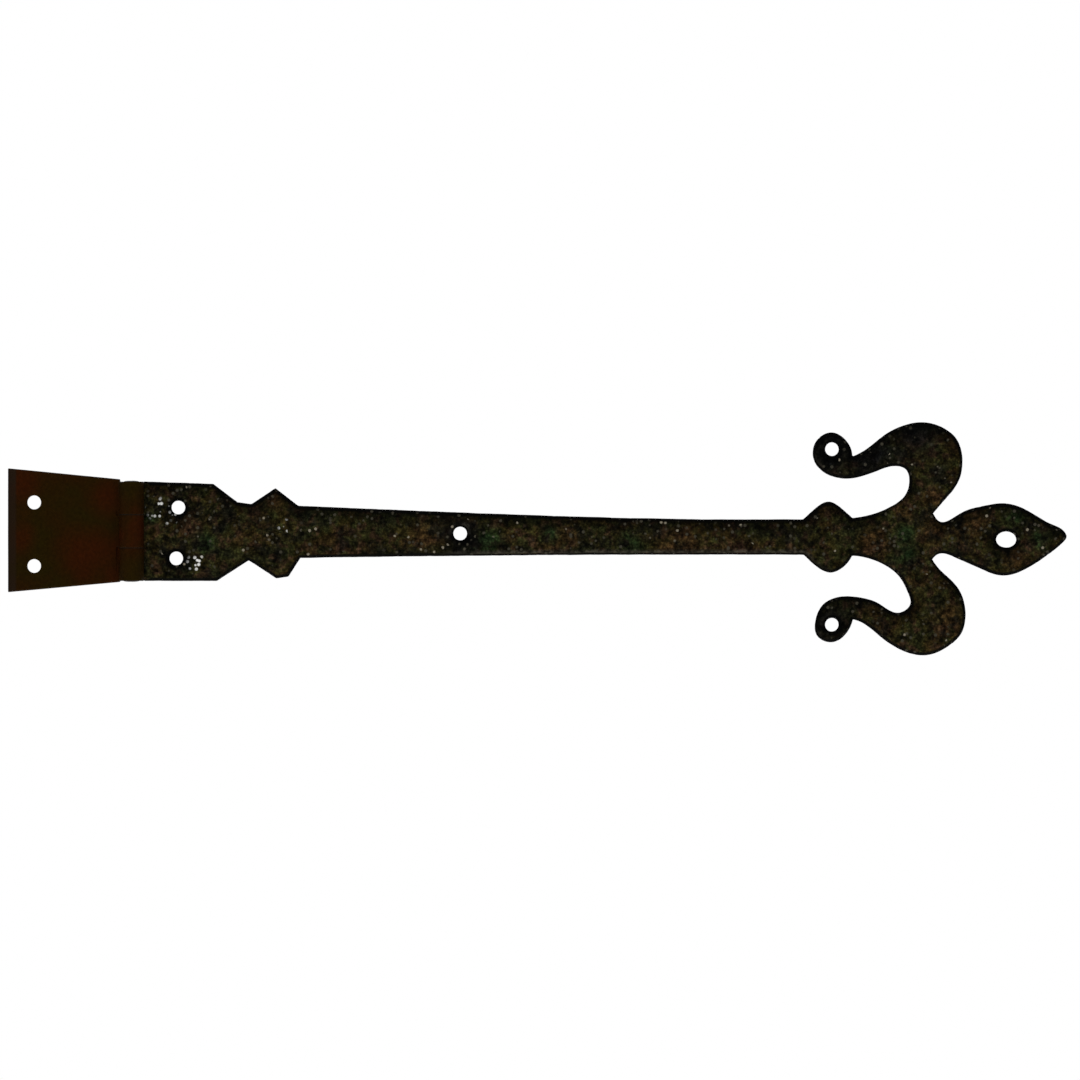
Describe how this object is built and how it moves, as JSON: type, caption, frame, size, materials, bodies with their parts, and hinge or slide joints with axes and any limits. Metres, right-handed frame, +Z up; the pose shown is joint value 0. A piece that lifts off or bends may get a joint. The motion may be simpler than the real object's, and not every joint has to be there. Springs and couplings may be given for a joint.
{
  "type": "strap hinge",
  "caption": "Hand-forged iron strap hinge: a flared plain leaf pinned to a long tapered strap that ends in a fleur-de-lis, for hanging a door, gate or lid.",
  "frame": {"origin": "on the flat back of the strap leaf, straight behind the pin's axis at the middle of the barrel", "axes": "+X along the strap from the pin toward the fleur-de-lis, +Y out of the flat backs into the door, +Z up along the pin; the barrel and the front faces are toward -Y"},
  "size_m": [0.4562, 0.0108, 0.1004],
  "materials": {
    "jamb_iron": "smooth dark red-brown oxide",
    "strap_iron": "pitted, hammered near-black scale with brown rust",
    "pin_iron": "worn dark iron"
  },
  "bodies": {
    "jamb": {"jamb_leaf": "jamb_iron", "hinge_pin": "pin_iron"},
    "strap": {"strap_leaf": "strap_iron", "upper_scroll": "strap_iron", "lower_scroll": "strap_iron"}
  },
  "joints": [
    {"name": "pin_hinge", "type": "hinge", "parent": "jamb", "child": "strap", "pos_m": [0, -0.0054, 0], "axis": [0, 0, -1], "range_deg": [-75, 180]}
  ]
}
